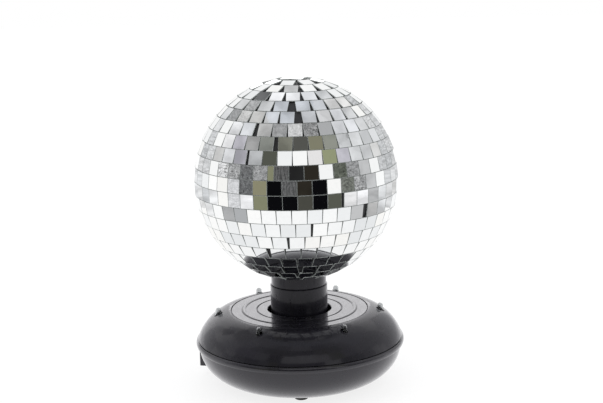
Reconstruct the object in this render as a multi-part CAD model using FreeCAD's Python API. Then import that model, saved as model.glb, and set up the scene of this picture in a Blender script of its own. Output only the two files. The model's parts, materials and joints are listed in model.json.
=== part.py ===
"""Table-top rotating mirror ball: a tiled ball on a round battery base with six lamps.

Millimetres, +Z up. The origin is on the spin axis at table level, and -Y is the front.
Each function makes one sub-part, and main() writes each as parts/NODE.step.
"""
import FreeCAD
import Part
import math
import os

V = FreeCAD.Vector
UP = V(0, 0, 1)

# ---- ball ---------------------------------------------------------------
BALL_R = 75.0            # outer faces of the mirror tiles
BALL_Z = 153.8           # height of the ball's centre
TILE_HIGH = 10.05
TILE_WIDE = 10.25        # at most; each row's tiles are as wide as clears their neighbours
TILE_PLAY = 0.12
POLAR_LAT = 44.0         # beyond this latitude the tiles are cut down, so that they clear
POLAR_SIDE = 9.75
TOP_ROW_SIDE = 9.5       # the eight nearest the pole
TILE_T = 1.0
TILE_TILT = 1.1          # hand-laid tiles lean by up to this many degrees
TILE_TWIST = 0.3
CUT_TILE_ROW = 8         # this row's closing gap is filled with a tile cut narrow
CORE_R = 73.7
CORE_WALL = 2.0
ROW_TOP_LAT = 76.46      # latitude of the second row's middle, degrees
ROW_STEP = 7.888         # one row to the next, degrees
CAP_TILE_SIDE = 8.0      # the four cut tiles over the pole
CAP_TURN = 27.0

# Each row of tiles from the second down: tiles, where the row was begun (degrees to the
# right of the front), and the closing gap left where it ends.
ROWS = [
    (8, 8.4, 0.0), (14, 8.9, 0.0), (20, -10.1, 0.0), (25, 0.5, 5.0), (30, 5.1, 4.5),
    (35, -25.2, 2.4), (39, -10.4, 2.3), (42, -27.3, 1.3), (44, -11.8, 3.6), (45, 0.5, 0.0),
    (45, 26.0, 1.4), (43, 41.9, 3.1), (42, 8.7, 0.9), (39, -4.8, 0.9), (36, -17.7, 1.8),
    (32, -178.1, 4.8), (27, 3.0, 2.2), (21, -1.1, 0.0), (16, 4.0, 0.0),
]

# ---- neck ---------------------------------------------------------------
NECK_R = 21.4
NECK_Z = (50.5, 74.0)
NECK_WALL = 2.4
NECK_WEB = 3.5
COLLAR_R = 20.6
COLLAR_WEB = 3.0
BALL_SCREW_RING = 12.0
BALL_SCREW_BOSS_R = 3.2
BALL_SCREW_TIP = 88.0
SHAFT_R = 2.0
SHAFT_Z = (21.6, 73.0)
HUB_R = 5.0

# ---- casing -------------------------------------------------------------
WALL = 2.0
BOWL_FLAT_R = 43.0       # flat underside inside this radius
BOWL_R = 76.0            # where the bowl meets the lip
BOWL_Z = (1.3, 28.6)
LIP_R = 78.3
LIP_Z = (29.2, 31.4, 33.7)  # foot, widest part and top of the rounded lip
LIP_EDGE = (0.5, 1.1)    # how far its foot and top edge lie inside its widest part
LIP_GROOVE = 0.25        # shadow line under the lip
SEAM = 0.5               # groove between the lip and the upper shell
TONGUE_R = 73.8          # the upper shell's tongue inside the bowl
DOME_MID = (49.3, 22.1)  # centre (radius, height) of the upper shell's elliptical section
DOME_SEMI = (29.6, 32.7)
PLATE_R = 51.2
PLATE_TOP = 54.6
PLATE_T = 2.0
PLATE_BEAD_R = 42.0      # raised ring: middle, half width and height
PLATE_BEAD_HALF = 1.7
PLATE_BEAD_UP = 0.5
PLATE_GROOVE_R = 32.0
PLATE_GROOVE = 0.7       # half width; its depth is the same
NECK_HOLE_R = 24.0
LEDGE_R = 46.5
CASE_SCREW_RING = 62.0
CASE_SCREW_TURNS = (35.0, 145.0, 215.0, 325.0)
CASE_BOSS_R = 4.0
CASE_BOSS_SLIM_R = 3.2
CASE_HEAD_Z = 14.0       # the heads sit this high inside their wells
FOOT_RING = 46.5
FOOT_R = 5.0

# ---- lamps --------------------------------------------------------------
LAMP_COUNT = 6
LAMP_TURN = 1.6          # first lamp, degrees round from +X
LAMP_RING = 61.3
LAMP_LEAN = 10.0         # leans in towards the ball
LAMP_R = 2.2
LAMP_ABOVE = 4.7
LAMP_BELOW = 4.0
LENS_WALL = 0.45
LEG_APART = 2.54
LEG_R = 0.3
CHIP_R = 0.8             # light source inside the lens
RIM_R = 2.8
RIM_ABOVE = 0.4          # above the shell all the way round
BOARD_RING_R = (54.0, 66.0)
BOARD_RING_Z = 40.0
BOARD_T = 1.6

# ---- battery compartment ------------------------------------------------
CELL_R = 7.25            # AA cells
CELL_LENGTH = 50.5
CELL_PITCH = 15.0
CELL_Z = 12.2
BOX_HALF = (24.0, 31.0)
BOX_TOP = 21.2
BOX_WALL = 1.5
DOOR_HALF = (22.3, 29.3)
DOOR_GAP = 0.2
DOOR_T = 1.8

# ---- gear train ---------------------------------------------------------
DRIVE_MODULE = 0.6
TRAIN_MODULE = 0.5
PINION_TEETH = 10
OUTPUT_TEETH = 60
WHEEL_TEETH = 50
PIN_R = 1.0
PIN_PLAY = 0.05
GEARBOX_MID = (-8.0, 14.0)
GEARBOX_R = 43.0
GEARBOX_POST_RING = 39.0
GEARBOX_POST_R = 3.2
LOWER_PLATE_Z = 22.0
UPPER_PLATE_Z = 35.0
GEAR_PLATE_T = 1.6
OUTPUT_Z = (24.4, 27.6)
SECOND_WHEEL_Z = (27.9, 29.9)
FIRST_WHEEL_Z = (30.4, 32.4)
GEAR_FOOT_Z = 23.8
SECOND_TURN = 150.0      # direction of each gear's axis from the one before
FIRST_TURN = 100.0
MOTOR_TURN = 40.0
MOTOR_R = 10.0
MOTOR_TOP = 49.0
MOTOR_SHAFT_R = 0.75

# ---- switch -------------------------------------------------------------
SWITCH_TURN = 166.0      # direction of the switch housing from +X
HOUSING_FACE = 77.4      # its flat outer face, from the spin axis
HOUSING_HALF = 9.0
HOUSING_Z = (7.5, 29.0)
SWITCH_Z = 18.0
SWITCH_HALF = (4.0, 6.7)  # pocket, across and up
SWITCH_WALL = 1.0
SWITCH_DEPTH = 9.0
BEZEL_T = 0.8
ROCKER_HALF = (3.7, 6.2)
ROCKER_TIP = 6.0         # degrees either side of level
PIVOT_IN = 3.0           # the rocker's axis lies this far behind the housing's face
STUD_R = 1.0
STUD_REACH = 0.5         # how far each pivot stud enters the pocket's wall


# ---- helpers ------------------------------------------------------------
def cyl(r, z0, z1, x=0.0, y=0.0):
    return Part.makeCylinder(r, z1 - z0, V(x, y, z0))


def tube(r_out, r_in, z0, z1, x=0.0, y=0.0):
    return cyl(r_out, z0, z1, x, y).cut(cyl(r_in, z0 - 1, z1 + 1, x, y))


def box(x0, x1, y0, y1, z0, z1):
    return Part.makeBox(x1 - x0, y1 - y0, z1 - z0, V(x0, y0, z0))


def polar(r, turn):
    a = math.radians(turn)
    return r * math.cos(a), r * math.sin(a)


def turned(shape, degrees, centre=V(0, 0, 0), axis=UP):
    out = shape.copy()
    out.rotate(centre, axis, degrees)
    return out


def spin(edges):
    """Solid of revolution about Z from the edges of a closed outline in the XZ plane."""
    return Part.Face(Part.Wire(edges)).revolve(V(0, 0, 0), UP, 360)


def outline(points):
    """Straight closed outline from (radius, height) points."""
    corners = [V(r, 0, z) for r, z in points]
    corners.append(corners[0])
    return [Part.LineSegment(a, b).toShape() for a, b in zip(corners, corners[1:])]


def ellipse_arc(mid, semi, start, end):
    """Arc of an ellipse in the XZ plane, from angle start to end in degrees."""
    def at(degrees):
        a = math.radians(degrees)
        return V(mid[0] + semi[0] * math.cos(a), 0, mid[1] + semi[1] * math.sin(a))
    flat = semi[0] >= semi[1]
    major = V(1, 0, 0) if flat else UP
    minor = UP if flat else V(1, 0, 0)
    centre = V(mid[0], 0, mid[1])
    long_semi, short_semi = max(semi), min(semi)
    curve = Part.Ellipse(centre + major * long_semi, centre + minor * short_semi, centre)
    a, b = sorted((curve.parameter(at(start)), curve.parameter(at(end))))
    if b - a > math.pi:
        a, b = b, a + 2 * math.pi
    return Part.ArcOfEllipse(curve, a, b).toShape(), at(start), at(end)


def screw(x, y, head_z, tip_z, r, head_r, head_h):
    """Cross-head screw with its head's underside at head_z and its tip at tip_z."""
    away = 1 if head_z > tip_z else -1
    top = head_z + away * head_h
    shank = cyl(r, min(head_z, tip_z), max(head_z, tip_z), x, y)
    head = cyl(head_r, min(head_z, top), max(head_z, top), x, y)
    body = shank.fuse(head)
    slot_depth = head_h * 0.5
    slot_r = head_r * 0.6
    slot_half = head_r * 0.12
    z0, z1 = sorted((top, top - away * slot_depth))
    cross = box(x - slot_r, x + slot_r, y - slot_half, y + slot_half, z0, z1)
    cross = cross.fuse(box(x - slot_half, x + slot_half, y - slot_r, y + slot_r, z0, z1))
    return body.cut(cross).removeSplitter()


def group(shapes):
    return Part.makeCompound(shapes)


# ---- ball ---------------------------------------------------------------
def tile(lat, lon, wide, high, lean, sway, twist):
    """One flat mirror tile whose outer face touches the ball at (lat, lon)."""
    t = box(-wide / 2, wide / 2, -high / 2, high / 2, -TILE_T, 0)
    t = turned(t, twist)
    t = turned(t, lean, axis=V(1, 0, 0))
    t = turned(t, sway, axis=V(0, 1, 0))
    t.translate(V(0, 0, BALL_R))
    t = turned(t, 90 - lat, axis=V(1, 0, 0))
    t = turned(t, lon)
    t.translate(V(0, 0, BALL_Z))
    return t


def lay(row, index, wave):
    """How much a hand-laid tile leans: uneven from tile to tile, the same every run."""
    return math.sin(row * 12.9898 + index * wave) * math.sin(index * 3.7 + row * 1.9)


def mirror_cap():
    """Four cut tiles over the pole, in a square."""
    step = math.degrees(math.atan(CAP_TILE_SIDE * 0.52 * math.sqrt(2) / BALL_R))
    tiles = []
    for i in range(4):
        t = tile(90 - step, CAP_TURN + 90 * i, CAP_TILE_SIDE, CAP_TILE_SIDE, 0, 0, 45)
        tiles.append(t)
    return group(tiles)


def clear_width(lat, pitch):
    """Width between neighbours a pitch apart, at the inner corners nearest the pole."""
    a = math.radians(lat)
    inner_r = (BALL_R - TILE_T) * math.cos(a) - TILE_HIGH / 2 * abs(math.sin(a))
    return 2 * inner_r * math.tan(math.radians(pitch) / 2) - TILE_PLAY


def mirror_row(k):
    count, start, gap = ROWS[k]
    lat = ROW_TOP_LAT - k * ROW_STEP
    pitch = (360.0 - gap) / count
    wide, high = min(TILE_WIDE, clear_width(lat, pitch)), TILE_HIGH
    if abs(lat) > POLAR_LAT:
        wide = high = TOP_ROW_SIDE if k == 0 else POLAR_SIDE
    tiles = []
    if k == CUT_TILE_ROW:
        tiles.append(tile(lat, start - gap / 2, clear_width(lat, gap), high, 0, 0, 0))
    for i in range(count):
        lean = TILE_TILT * lay(k, i, 78.233)
        sway = TILE_TILT * lay(k, i, 37.719)
        twist = TILE_TWIST * lay(k, i, 11.137)
        tiles.append(tile(lat, start + pitch * (i + 0.5), wide, high, lean, sway, twist))
    return group(tiles)


def ball_sphere(r):
    return Part.makeSphere(r, V(0, 0, BALL_Z))


def core_upper():
    shell = ball_sphere(CORE_R).cut(ball_sphere(CORE_R - CORE_WALL))
    return shell.common(cyl(CORE_R + 5, BALL_Z, BALL_Z + CORE_R + 5))


def core_lower():
    shell = ball_sphere(CORE_R).cut(ball_sphere(CORE_R - CORE_WALL))
    shell = shell.common(cyl(CORE_R + 5, BALL_Z - CORE_R - 5, BALL_Z))
    spigot_r = CORE_R - CORE_WALL - 0.3
    spigot = tube(spigot_r, spigot_r - 1.5, BALL_Z - 4, BALL_Z + 3)
    shelf = tube(CORE_R - CORE_WALL + 0.5, spigot_r - 1.5, BALL_Z - 6, BALL_Z - 3)
    shelf = shelf.common(ball_sphere(CORE_R - 0.5))
    core = shell.fuse(spigot).fuse(shelf)
    for i in range(3):
        x, y = polar(BALL_SCREW_RING, 30 + 120 * i)
        boss = cyl(BALL_SCREW_BOSS_R, BALL_Z - CORE_R, BALL_SCREW_TIP + 2, x, y)
        core = core.fuse(boss.common(ball_sphere(CORE_R)))
        core = core.cut(cyl(1.5, BALL_Z - CORE_R - 1, BALL_SCREW_TIP + 0.5, x, y))
    return core.removeSplitter()


def ball_collar():
    z0 = NECK_Z[1]
    body = cyl(COLLAR_R, z0, z0 + 14)
    body = body.cut(cyl(COLLAR_R - 2.2, z0 + COLLAR_WEB, z0 + 20))
    for i in range(3):
        x, y = polar(BALL_SCREW_RING, 30 + 120 * i)
        body = body.fuse(cyl(BALL_SCREW_BOSS_R, z0, z0 + 12, x, y))
    body = body.cut(ball_sphere(CORE_R + 0.05))
    for i in range(3):
        x, y = polar(BALL_SCREW_RING, 30 + 120 * i)
        body = body.cut(cyl(1.8, z0 - 1, z0 + 20, x, y))
    rim = [e for e in body.Edges if abs(e.BoundBox.ZMax - z0) < 1e-3
           and abs(e.BoundBox.ZMin - z0) < 1e-3 and e.BoundBox.XMax > COLLAR_R - 0.1]
    return body.makeChamfer(0.4, rim).removeSplitter()


def neck_column():
    z0, z1 = NECK_Z
    body = cyl(NECK_R, z0, z1)
    rim = [e for e in body.Edges if abs(e.BoundBox.ZMin - z1) < 1e-3]
    body = body.makeFillet(0.6, rim)
    body = body.cut(cyl(NECK_R - NECK_WALL, z0 - 1, z1 - NECK_WEB))
    body = body.fuse(cyl(HUB_R, z0 + 2, z1 - NECK_WEB + 0.5))
    body = body.cut(cyl(SHAFT_R, z0 - 1, SHAFT_Z[1]))
    for i in range(3):
        x, y = polar(BALL_SCREW_RING, 30 + 120 * i)
        body = body.cut(cyl(1.8, z0, z1 + 1, x, y))
    return body.removeSplitter()


def ball_screws():
    shapes = []
    for i in range(3):
        x, y = polar(BALL_SCREW_RING, 30 + 120 * i)
        web = NECK_Z[1] - NECK_WEB
        shapes.append(screw(x, y, web, BALL_SCREW_TIP, 1.45, 2.8, 2.0))
    return group(shapes)


# ---- casing -------------------------------------------------------------
def bowl_solid(inset, top):
    """Solid bounded by the bowl's outside, moved in by inset and closed flat at top."""
    semi = (BOWL_R - BOWL_FLAT_R - inset, BOWL_Z[1] - BOWL_Z[0] - inset)
    arc, low, high = ellipse_arc((BOWL_FLAT_R, BOWL_Z[1]), semi, -90, 0)
    ends = [V(high.x, 0, top), V(0, 0, top), V(0, 0, low.z), low]
    edges = [arc]
    here = high
    for there in ends:
        if (there - here).Length > 1e-6:
            edges.append(Part.LineSegment(here, there).toShape())
        here = there
    return spin(edges)


def dome_solid(inset, r_in, base):
    """Ring bounded by the upper shell's outside, moved in by inset, outside radius r_in."""
    semi = (DOME_SEMI[0] - inset, DOME_SEMI[1] - inset)
    low = math.degrees(math.asin((base - DOME_MID[1]) / semi[1]))
    high = math.degrees(math.acos((r_in - DOME_MID[0]) / semi[0]))
    arc, start, end = ellipse_arc(DOME_MID, semi, low, high)
    inner = V(r_in, 0, base)
    return spin([arc, Part.LineSegment(end, inner).toShape(),
                 Part.LineSegment(inner, start).toShape()])


def housing_block(inset, z0, z1, r_in):
    """Block behind the switch housing's flat face, at its direction."""
    half = HOUSING_HALF - inset
    block = box(r_in, HOUSING_FACE - inset, -half, half, z0, z1)
    return turned(block, SWITCH_TURN)


def gearbox_posts():
    """Places of the three posts that carry the gearbox."""
    places = []
    for i in range(3):
        x, y = polar(GEARBOX_POST_RING, 120 * i)
        places.append((GEARBOX_MID[0] + x, GEARBOX_MID[1] + y))
    return places


def case_screw_places():
    return [polar(CASE_SCREW_RING, a) for a in CASE_SCREW_TURNS]


def lip_ring():
    """Rounded lip round the bowl's mouth, with a fine groove under it."""
    foot, widest, top = LIP_Z
    low = V(LIP_R - LIP_EDGE[0], 0, foot)
    high = V(LIP_R - LIP_EDGE[1], 0, top)
    inside = [V(BOWL_R - 3, 0, top), V(BOWL_R - 3, 0, foot)]
    return spin([Part.Arc(low, V(LIP_R, 0, widest), high).toShape(),
                 Part.LineSegment(high, inside[0]).toShape(),
                 Part.LineSegment(inside[0], inside[1]).toShape(),
                 Part.LineSegment(inside[1], low).toShape()])


def lower_shell():
    shell = bowl_solid(0, LIP_Z[2])
    shell = shell.cut(tube(BOWL_R + 1, BOWL_R - LIP_GROOVE, LIP_Z[0] - LIP_GROOVE, LIP_Z[0]))
    shell = shell.fuse(lip_ring())
    shell = shell.fuse(housing_block(0, HOUSING_Z[0], BOWL_Z[1] + 1, 55))
    hollow = bowl_solid(WALL, LIP_Z[2] + 2)
    shell = shell.cut(hollow)
    shell = shell.cut(housing_block(WALL, HOUSING_Z[0] + WALL, BOWL_Z[1] - 1, 50))
    filling = bowl_solid(WALL * 0.5, BOWL_Z[1] - 0.6)
    for x, y in case_screw_places():
        shell = shell.fuse(cyl(CASE_BOSS_R, 0, BOWL_Z[1] - 1, x, y).common(filling))
    for x, y in gearbox_posts():
        post = cyl(GEARBOX_POST_R, 0, LOWER_PLATE_Z, x, y).common(filling)
        shell = shell.fuse(post).cut(cyl(1.4, 8, LOWER_PLATE_Z + 1, x, y))
    for x, y in circuit_posts():
        post = cyl(2.4, 0, LOWER_PLATE_Z, x, y).common(filling)
        shell = shell.fuse(post)
    for x, y in case_screw_places():
        shell = shell.cut(cyl(1.8, 0, BOWL_Z[1] + 1, x, y))
        shell = shell.cut(cyl(3.2, 0, CASE_HEAD_Z, x, y))
    dx, dy = DOOR_HALF[0] + DOOR_GAP, DOOR_HALF[1] + DOOR_GAP
    shell = shell.cut(box(-dx, dx, -dy, dy, 0, BOWL_Z[0] + WALL + 1))
    pocket_x, pocket_z = SWITCH_HALF[0] + SWITCH_WALL, SWITCH_HALF[1] + SWITCH_WALL
    window = box(60, 90, -pocket_x, pocket_x, SWITCH_Z - pocket_z, SWITCH_Z + pocket_z)
    return shell.cut(turned(window, SWITCH_TURN)).removeSplitter()


def lamp_axis(turn):
    """Foot point on the shell's surface and direction of one lamp."""
    slope = (LAMP_RING - DOME_MID[0]) / DOME_SEMI[0]
    z = DOME_MID[1] + DOME_SEMI[1] * math.sqrt(1 - slope * slope)
    x, y = polar(LAMP_RING, turn)
    lean = math.radians(LAMP_LEAN)
    dx, dy = polar(-math.sin(lean), turn)
    return V(x, y, z), V(dx, dy, math.cos(lean))


def lamp_turns():
    return [LAMP_TURN + 360.0 / LAMP_COUNT * i for i in range(LAMP_COUNT)]


def upper_shell():
    base = LIP_Z[2] + SEAM
    open_r = PLATE_R + 0.6
    shell = dome_solid(0, open_r, base).cut(dome_solid(WALL, open_r - 0.01, base - 0.01))
    tongue = tube(TONGUE_R, TONGUE_R - 1.8, BOWL_Z[1] + 0.2, base + 4)
    shoulder = tube(DOME_MID[0] + DOME_SEMI[0] - 3.0, TONGUE_R - 1.8, base, base + 2)
    shell = shell.fuse(tongue).fuse(shoulder)
    under = PLATE_TOP - PLATE_T
    ledge = tube(open_r + 3.5, LEDGE_R, under - 2.0, under)
    shell = shell.fuse(ledge.common(dome_fill()))
    for x, y in case_screw_places():
        slim = cyl(CASE_BOSS_SLIM_R, BOWL_Z[1] + 0.4, BOARD_RING_Z + BOARD_T, x, y)
        thick = cyl(CASE_BOSS_R, BOARD_RING_Z + BOARD_T, PLATE_TOP, x, y)
        shell = shell.fuse(slim.fuse(thick).common(dome_fill()))
        shell = shell.cut(cyl(1.5, BOWL_Z[1], BOARD_RING_Z + 2, x, y))
    for turn in lamp_turns():
        foot, way = lamp_axis(turn)
        rim = Part.makeCylinder(RIM_R, RIM_R * 2, foot - way * RIM_R, way)
        shell = shell.fuse(rim.common(dome_solid(-RIM_ABOVE, open_r, base)))
    for turn in lamp_turns():
        foot, way = lamp_axis(turn)
        shell = shell.cut(Part.makeCylinder(LAMP_R + 0.1, 14, foot - way * 7, way))
    for x, y in plate_screw_places():
        shell = shell.cut(cyl(1.5, under - 3, under + 1, x, y))
    return shell.removeSplitter()


def dome_fill():
    """Everything under the middle of the upper shell's wall."""
    return dome_solid(WALL * 0.5, DOME_MID[0], LIP_Z[2] + SEAM).fuse(
        cyl(DOME_MID[0], BOWL_Z[1], DOME_MID[1] + DOME_SEMI[1] - 1)).fuse(
        cyl(TONGUE_R - 1, BOWL_Z[1], LIP_Z[2] + SEAM))


def plate_screw_places():
    return [polar(49.0, 90 + 120 * i) for i in range(3)]


def top_plate():
    """Flat ring with a raised bead and a V groove, both turned about the axis."""
    top, under = PLATE_TOP, PLATE_TOP - PLATE_T
    bead = [V(PLATE_BEAD_R + PLATE_BEAD_HALF, 0, top), V(PLATE_BEAD_R, 0, top + PLATE_BEAD_UP),
            V(PLATE_BEAD_R - PLATE_BEAD_HALF, 0, top)]
    before = [V(NECK_HOLE_R, 0, under), V(PLATE_R, 0, under), V(PLATE_R, 0, top - 0.3),
              V(PLATE_R - 0.3, 0, top), bead[0]]
    after = [bead[2], V(PLATE_GROOVE_R + PLATE_GROOVE, 0, top),
             V(PLATE_GROOVE_R, 0, top - PLATE_GROOVE), V(PLATE_GROOVE_R - PLATE_GROOVE, 0, top),
             V(NECK_HOLE_R + 0.4, 0, top), V(NECK_HOLE_R, 0, top - 0.4), before[0]]
    edges = [Part.Arc(*bead).toShape()]
    for run in (before, after):
        edges += [Part.LineSegment(a, b).toShape() for a, b in zip(run, run[1:])]
    plate = spin(Part.__sortEdges__(edges))
    for x, y in plate_screw_places():
        plate = plate.cut(cyl(1.4, under - 1, under + 1.2, x, y))
    return plate


def case_screws():
    """Four long screws through the bowl, and three short ones up into the top plate."""
    under = PLATE_TOP - PLATE_T
    long_screws = [screw(x, y, CASE_HEAD_Z, BOARD_RING_Z, 1.45, 2.8, 2.0)
                   for x, y in case_screw_places()]
    short_screws = [screw(x, y, under - 2.0, under + 1.1, 1.3, 2.2, 1.4)
                    for x, y in plate_screw_places()]
    return group(long_screws + short_screws)


def rubber_feet():
    bowl = bowl_solid(0, LIP_Z[2])
    feet = []
    for i in range(4):
        x, y = polar(FOOT_RING, 90 * i)
        pad = cyl(FOOT_R, 0, 6, x, y)
        rim = [e for e in pad.Edges if e.BoundBox.ZMax < 1e-3]
        feet.append(pad.makeFillet(0.8, rim).cut(bowl))
    return group(feet)


# ---- lamps --------------------------------------------------------------
def lamp_legs(turn):
    """Tops of one lamp's two legs."""
    foot, way = lamp_axis(turn)
    side = V(-math.sin(math.radians(turn)), math.cos(math.radians(turn)), 0)
    return [foot - way * LAMP_BELOW + side * (LEG_APART / 2 * sign) for sign in (-1, 1)]


def lamp(turn):
    """Clear hollow lens with a bar across its foot, which holds the light source and two legs."""
    foot, way = lamp_axis(turn)
    length = LAMP_BELOW + LAMP_ABOVE - LAMP_R
    base = foot - way * LAMP_BELOW
    nose = base + way * length
    body = Part.makeCylinder(LAMP_R, length, base, way).fuse(Part.makeSphere(LAMP_R, nose))
    inside_r = LAMP_R - LENS_WALL
    body = body.cut(Part.makeCylinder(inside_r, length + 1, base - way, way))
    body = body.cut(Part.makeSphere(inside_r, nose))
    bar = box(-CHIP_R, CHIP_R, -inside_r - LENS_WALL / 2, inside_r + LENS_WALL / 2, 0, 1.2)
    bar = bar.fuse(cyl(CHIP_R, 1, LAMP_BELOW + CHIP_R))
    bar.rotate(V(0, 0, 0), V(0, 1, 0), -LAMP_LEAN)
    bar.rotate(V(0, 0, 0), UP, turn)
    bar.translate(base)
    body = body.fuse(bar)
    for root in lamp_legs(turn):
        length = root.z + LEG_R - BOARD_RING_Z + 0.4
        leg = Part.makeCylinder(LEG_R, length, V(root.x, root.y, BOARD_RING_Z - 0.4))
        body = body.fuse(leg)
    return body.removeSplitter()


def lamp_board():
    ring = tube(BOARD_RING_R[1], BOARD_RING_R[0], BOARD_RING_Z, BOARD_RING_Z + BOARD_T)
    for x, y in case_screw_places():
        ring = ring.cut(cyl(CASE_BOSS_SLIM_R + 0.2, BOARD_RING_Z - 1, BOARD_RING_Z + 3, x, y))
    for turn in lamp_turns():
        for root in lamp_legs(turn):
            ring = ring.cut(cyl(LEG_R + 0.05, BOARD_RING_Z - 1, BOARD_RING_Z + 3, root.x, root.y))
    return ring


# ---- battery compartment ------------------------------------------------
def battery_box():
    floor = BOWL_Z[0] + WALL
    bx, by = BOX_HALF
    body = box(-bx, bx, -by, by, floor, BOX_TOP)
    body = body.cut(box(-bx + BOX_WALL, bx - BOX_WALL, -by + BOX_WALL, by - BOX_WALL,
                        floor - 1, BOX_TOP - BOX_WALL))
    for x in (-CELL_PITCH / 2, CELL_PITCH / 2):
        rib = box(x - 0.6, x + 0.6, -by + 1, by - 1, BOX_TOP - 5, BOX_TOP - 1)
        cells = [Part.makeCylinder(CELL_R + 0.3, 2 * by, V(c, -by, CELL_Z), V(0, 1, 0))
                 for c in (-CELL_PITCH, 0, CELL_PITCH)]
        for c in cells:
            rib = rib.cut(c)
        body = body.fuse(rib)
    return body.removeSplitter()


def cell(i):
    """One AA cell: can, shoulder and button, turned end for end beside its neighbour."""
    x = CELL_PITCH * (i - 1)
    way = V(0, 1 if i % 2 == 0 else -1, 0)
    start = V(x, -way.y * CELL_LENGTH / 2, CELL_Z)
    can = Part.makeCylinder(CELL_R, CELL_LENGTH - 1.5, start, way)
    rims = [e for e in can.Edges if e.BoundBox.YLength < 1e-3]
    can = can.makeFillet(0.6, rims)
    button = Part.makeCylinder(2.75, 2.0, start + way * (CELL_LENGTH - 2.0), way)
    return can.fuse(button).removeSplitter()


def battery_contacts():
    """Plates at both ends, with a conical seat for each cell's flat end."""
    by = BOX_HALF[1] - BOX_WALL
    gap = by - CELL_LENGTH / 2
    parts = []
    for i in range(3):
        x = CELL_PITCH * (i - 1)
        flat_side = -1 if i % 2 == 0 else 1
        for side in (-1, 1):
            y0, y1 = sorted((side * by, side * (by - 0.5)))
            plate = box(x - 6, x + 6, y0, y1, CELL_Z - 6, CELL_Z + 6)
            start = V(x, side * (by - 0.5), CELL_Z)
            inward = V(0, -side, 0)
            reach = gap - 0.5
            if side == flat_side:
                nose = Part.makeCone(5.0, 2.5, reach, start, inward)
                bore = Part.makeCone(4.4, 1.9, reach, start, inward)
                nose = nose.cut(bore)
            else:
                nose = Part.makeCylinder(1.6, reach, start, inward)
            parts.append(plate.fuse(nose).removeSplitter())
    return group(parts)


def battery_door():
    dx, dy = DOOR_HALF
    door = box(-dx, dx, -dy, dy, BOWL_Z[0], BOWL_Z[0] + DOOR_T)
    corners = [e for e in door.Edges if e.BoundBox.ZLength > DOOR_T - 0.1]
    door = door.makeFillet(0.15, corners)
    for i in range(5):
        y = -dy + 5 + 1.8 * i
        door = door.cut(box(-7, 7, y, y + 0.8, BOWL_Z[0] - 1, BOWL_Z[0] + 0.6))
    wall_y = -BOX_HALF[1] + BOX_WALL
    for x in (-CELL_PITCH / 2, CELL_PITCH / 2):
        catch = box(x - 1.2, x + 1.2, wall_y + 0.3, wall_y + 1.5,
                    BOWL_Z[0] + DOOR_T - 0.1, BOWL_Z[0] + DOOR_T + 4)
        door = door.fuse(catch)
    return door.removeSplitter()


# ---- gear train ---------------------------------------------------------
def gear_outline(teeth, module, phase):
    """Closed wire of a spur gear with involute flanks; a tooth is centred on phase (radians)."""
    pitch_r = teeth * module / 2
    base_r = pitch_r * math.cos(math.radians(20))
    tip_r = pitch_r + 0.8 * module
    root_r = pitch_r - 1.2 * module

    def half_angle(r):
        def involute(a):
            return math.tan(a) - a
        press = math.acos(min(1.0, base_r / r))
        at_pitch = math.pi / (2 * teeth) - 0.06 * module / pitch_r
        return at_pitch + involute(math.radians(20)) - involute(press)

    start_r = max(base_r, root_r)
    flank = [start_r + (tip_r - start_r) * f for f in (0.0, 0.35, 0.7, 1.0)]
    points = []
    for i in range(teeth):
        mid = phase + 2 * math.pi * i / teeth
        side = [(root_r, half_angle(start_r))] + [(r, half_angle(r)) for r in flank]
        for r, a in side:
            points.append(V(r * math.cos(mid - a), r * math.sin(mid - a), 0))
        for r, a in reversed(side):
            points.append(V(r * math.cos(mid + a), r * math.sin(mid + a), 0))
    if start_r == root_r:
        points = [p for n, p in enumerate(points) if n % 10 not in (0, 9)]
    points.append(points[0])
    return Part.makePolygon(points)


def gear_disc(teeth, module, phase, z0, z1, x, y):
    disc = Part.Face(gear_outline(teeth, module, phase)).extrude(V(0, 0, z1 - z0))
    disc.translate(V(x, y, z0))
    return disc


def mesh_phase(turn, phase, teeth, other_teeth):
    """Phase of the next gear, so that its gap meets a tooth of the gear before it."""
    along = (math.radians(turn) - phase) * teeth / (2 * math.pi)
    return math.radians(turn) + math.pi - (0.5 - along) * 2 * math.pi / other_teeth


def train_layout():
    """Axis place and tooth phase of each gear of the train."""
    reach = (OUTPUT_TEETH + PINION_TEETH) * DRIVE_MODULE / 2
    x2, y2 = polar(reach, SECOND_TURN)
    phase2 = mesh_phase(SECOND_TURN, 0.0, OUTPUT_TEETH, PINION_TEETH)
    reach = (WHEEL_TEETH + PINION_TEETH) * TRAIN_MODULE / 2
    dx, dy = polar(reach, FIRST_TURN)
    x1, y1 = x2 + dx, y2 + dy
    phase1 = mesh_phase(FIRST_TURN, phase2, WHEEL_TEETH, PINION_TEETH)
    dx, dy = polar(reach, MOTOR_TURN)
    x0, y0 = x1 + dx, y1 + dy
    phase0 = mesh_phase(MOTOR_TURN, phase1, WHEEL_TEETH, PINION_TEETH)
    return {"second": (x2, y2, phase2), "first": (x1, y1, phase1), "motor": (x0, y0, phase0)}


def output_gear():
    gear = gear_disc(OUTPUT_TEETH, DRIVE_MODULE, 0.0, OUTPUT_Z[0], OUTPUT_Z[1], 0, 0)
    gear = gear.fuse(cyl(HUB_R + 1, OUTPUT_Z[0], UPPER_PLATE_Z - 1.2))
    for i in range(6):
        x, y = polar(11.5, 60 * i)
        gear = gear.cut(cyl(3.2, OUTPUT_Z[0] - 1, OUTPUT_Z[1] + 1, x, y))
    return gear.cut(cyl(SHAFT_R, OUTPUT_Z[0] - 1, UPPER_PLATE_Z))


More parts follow.
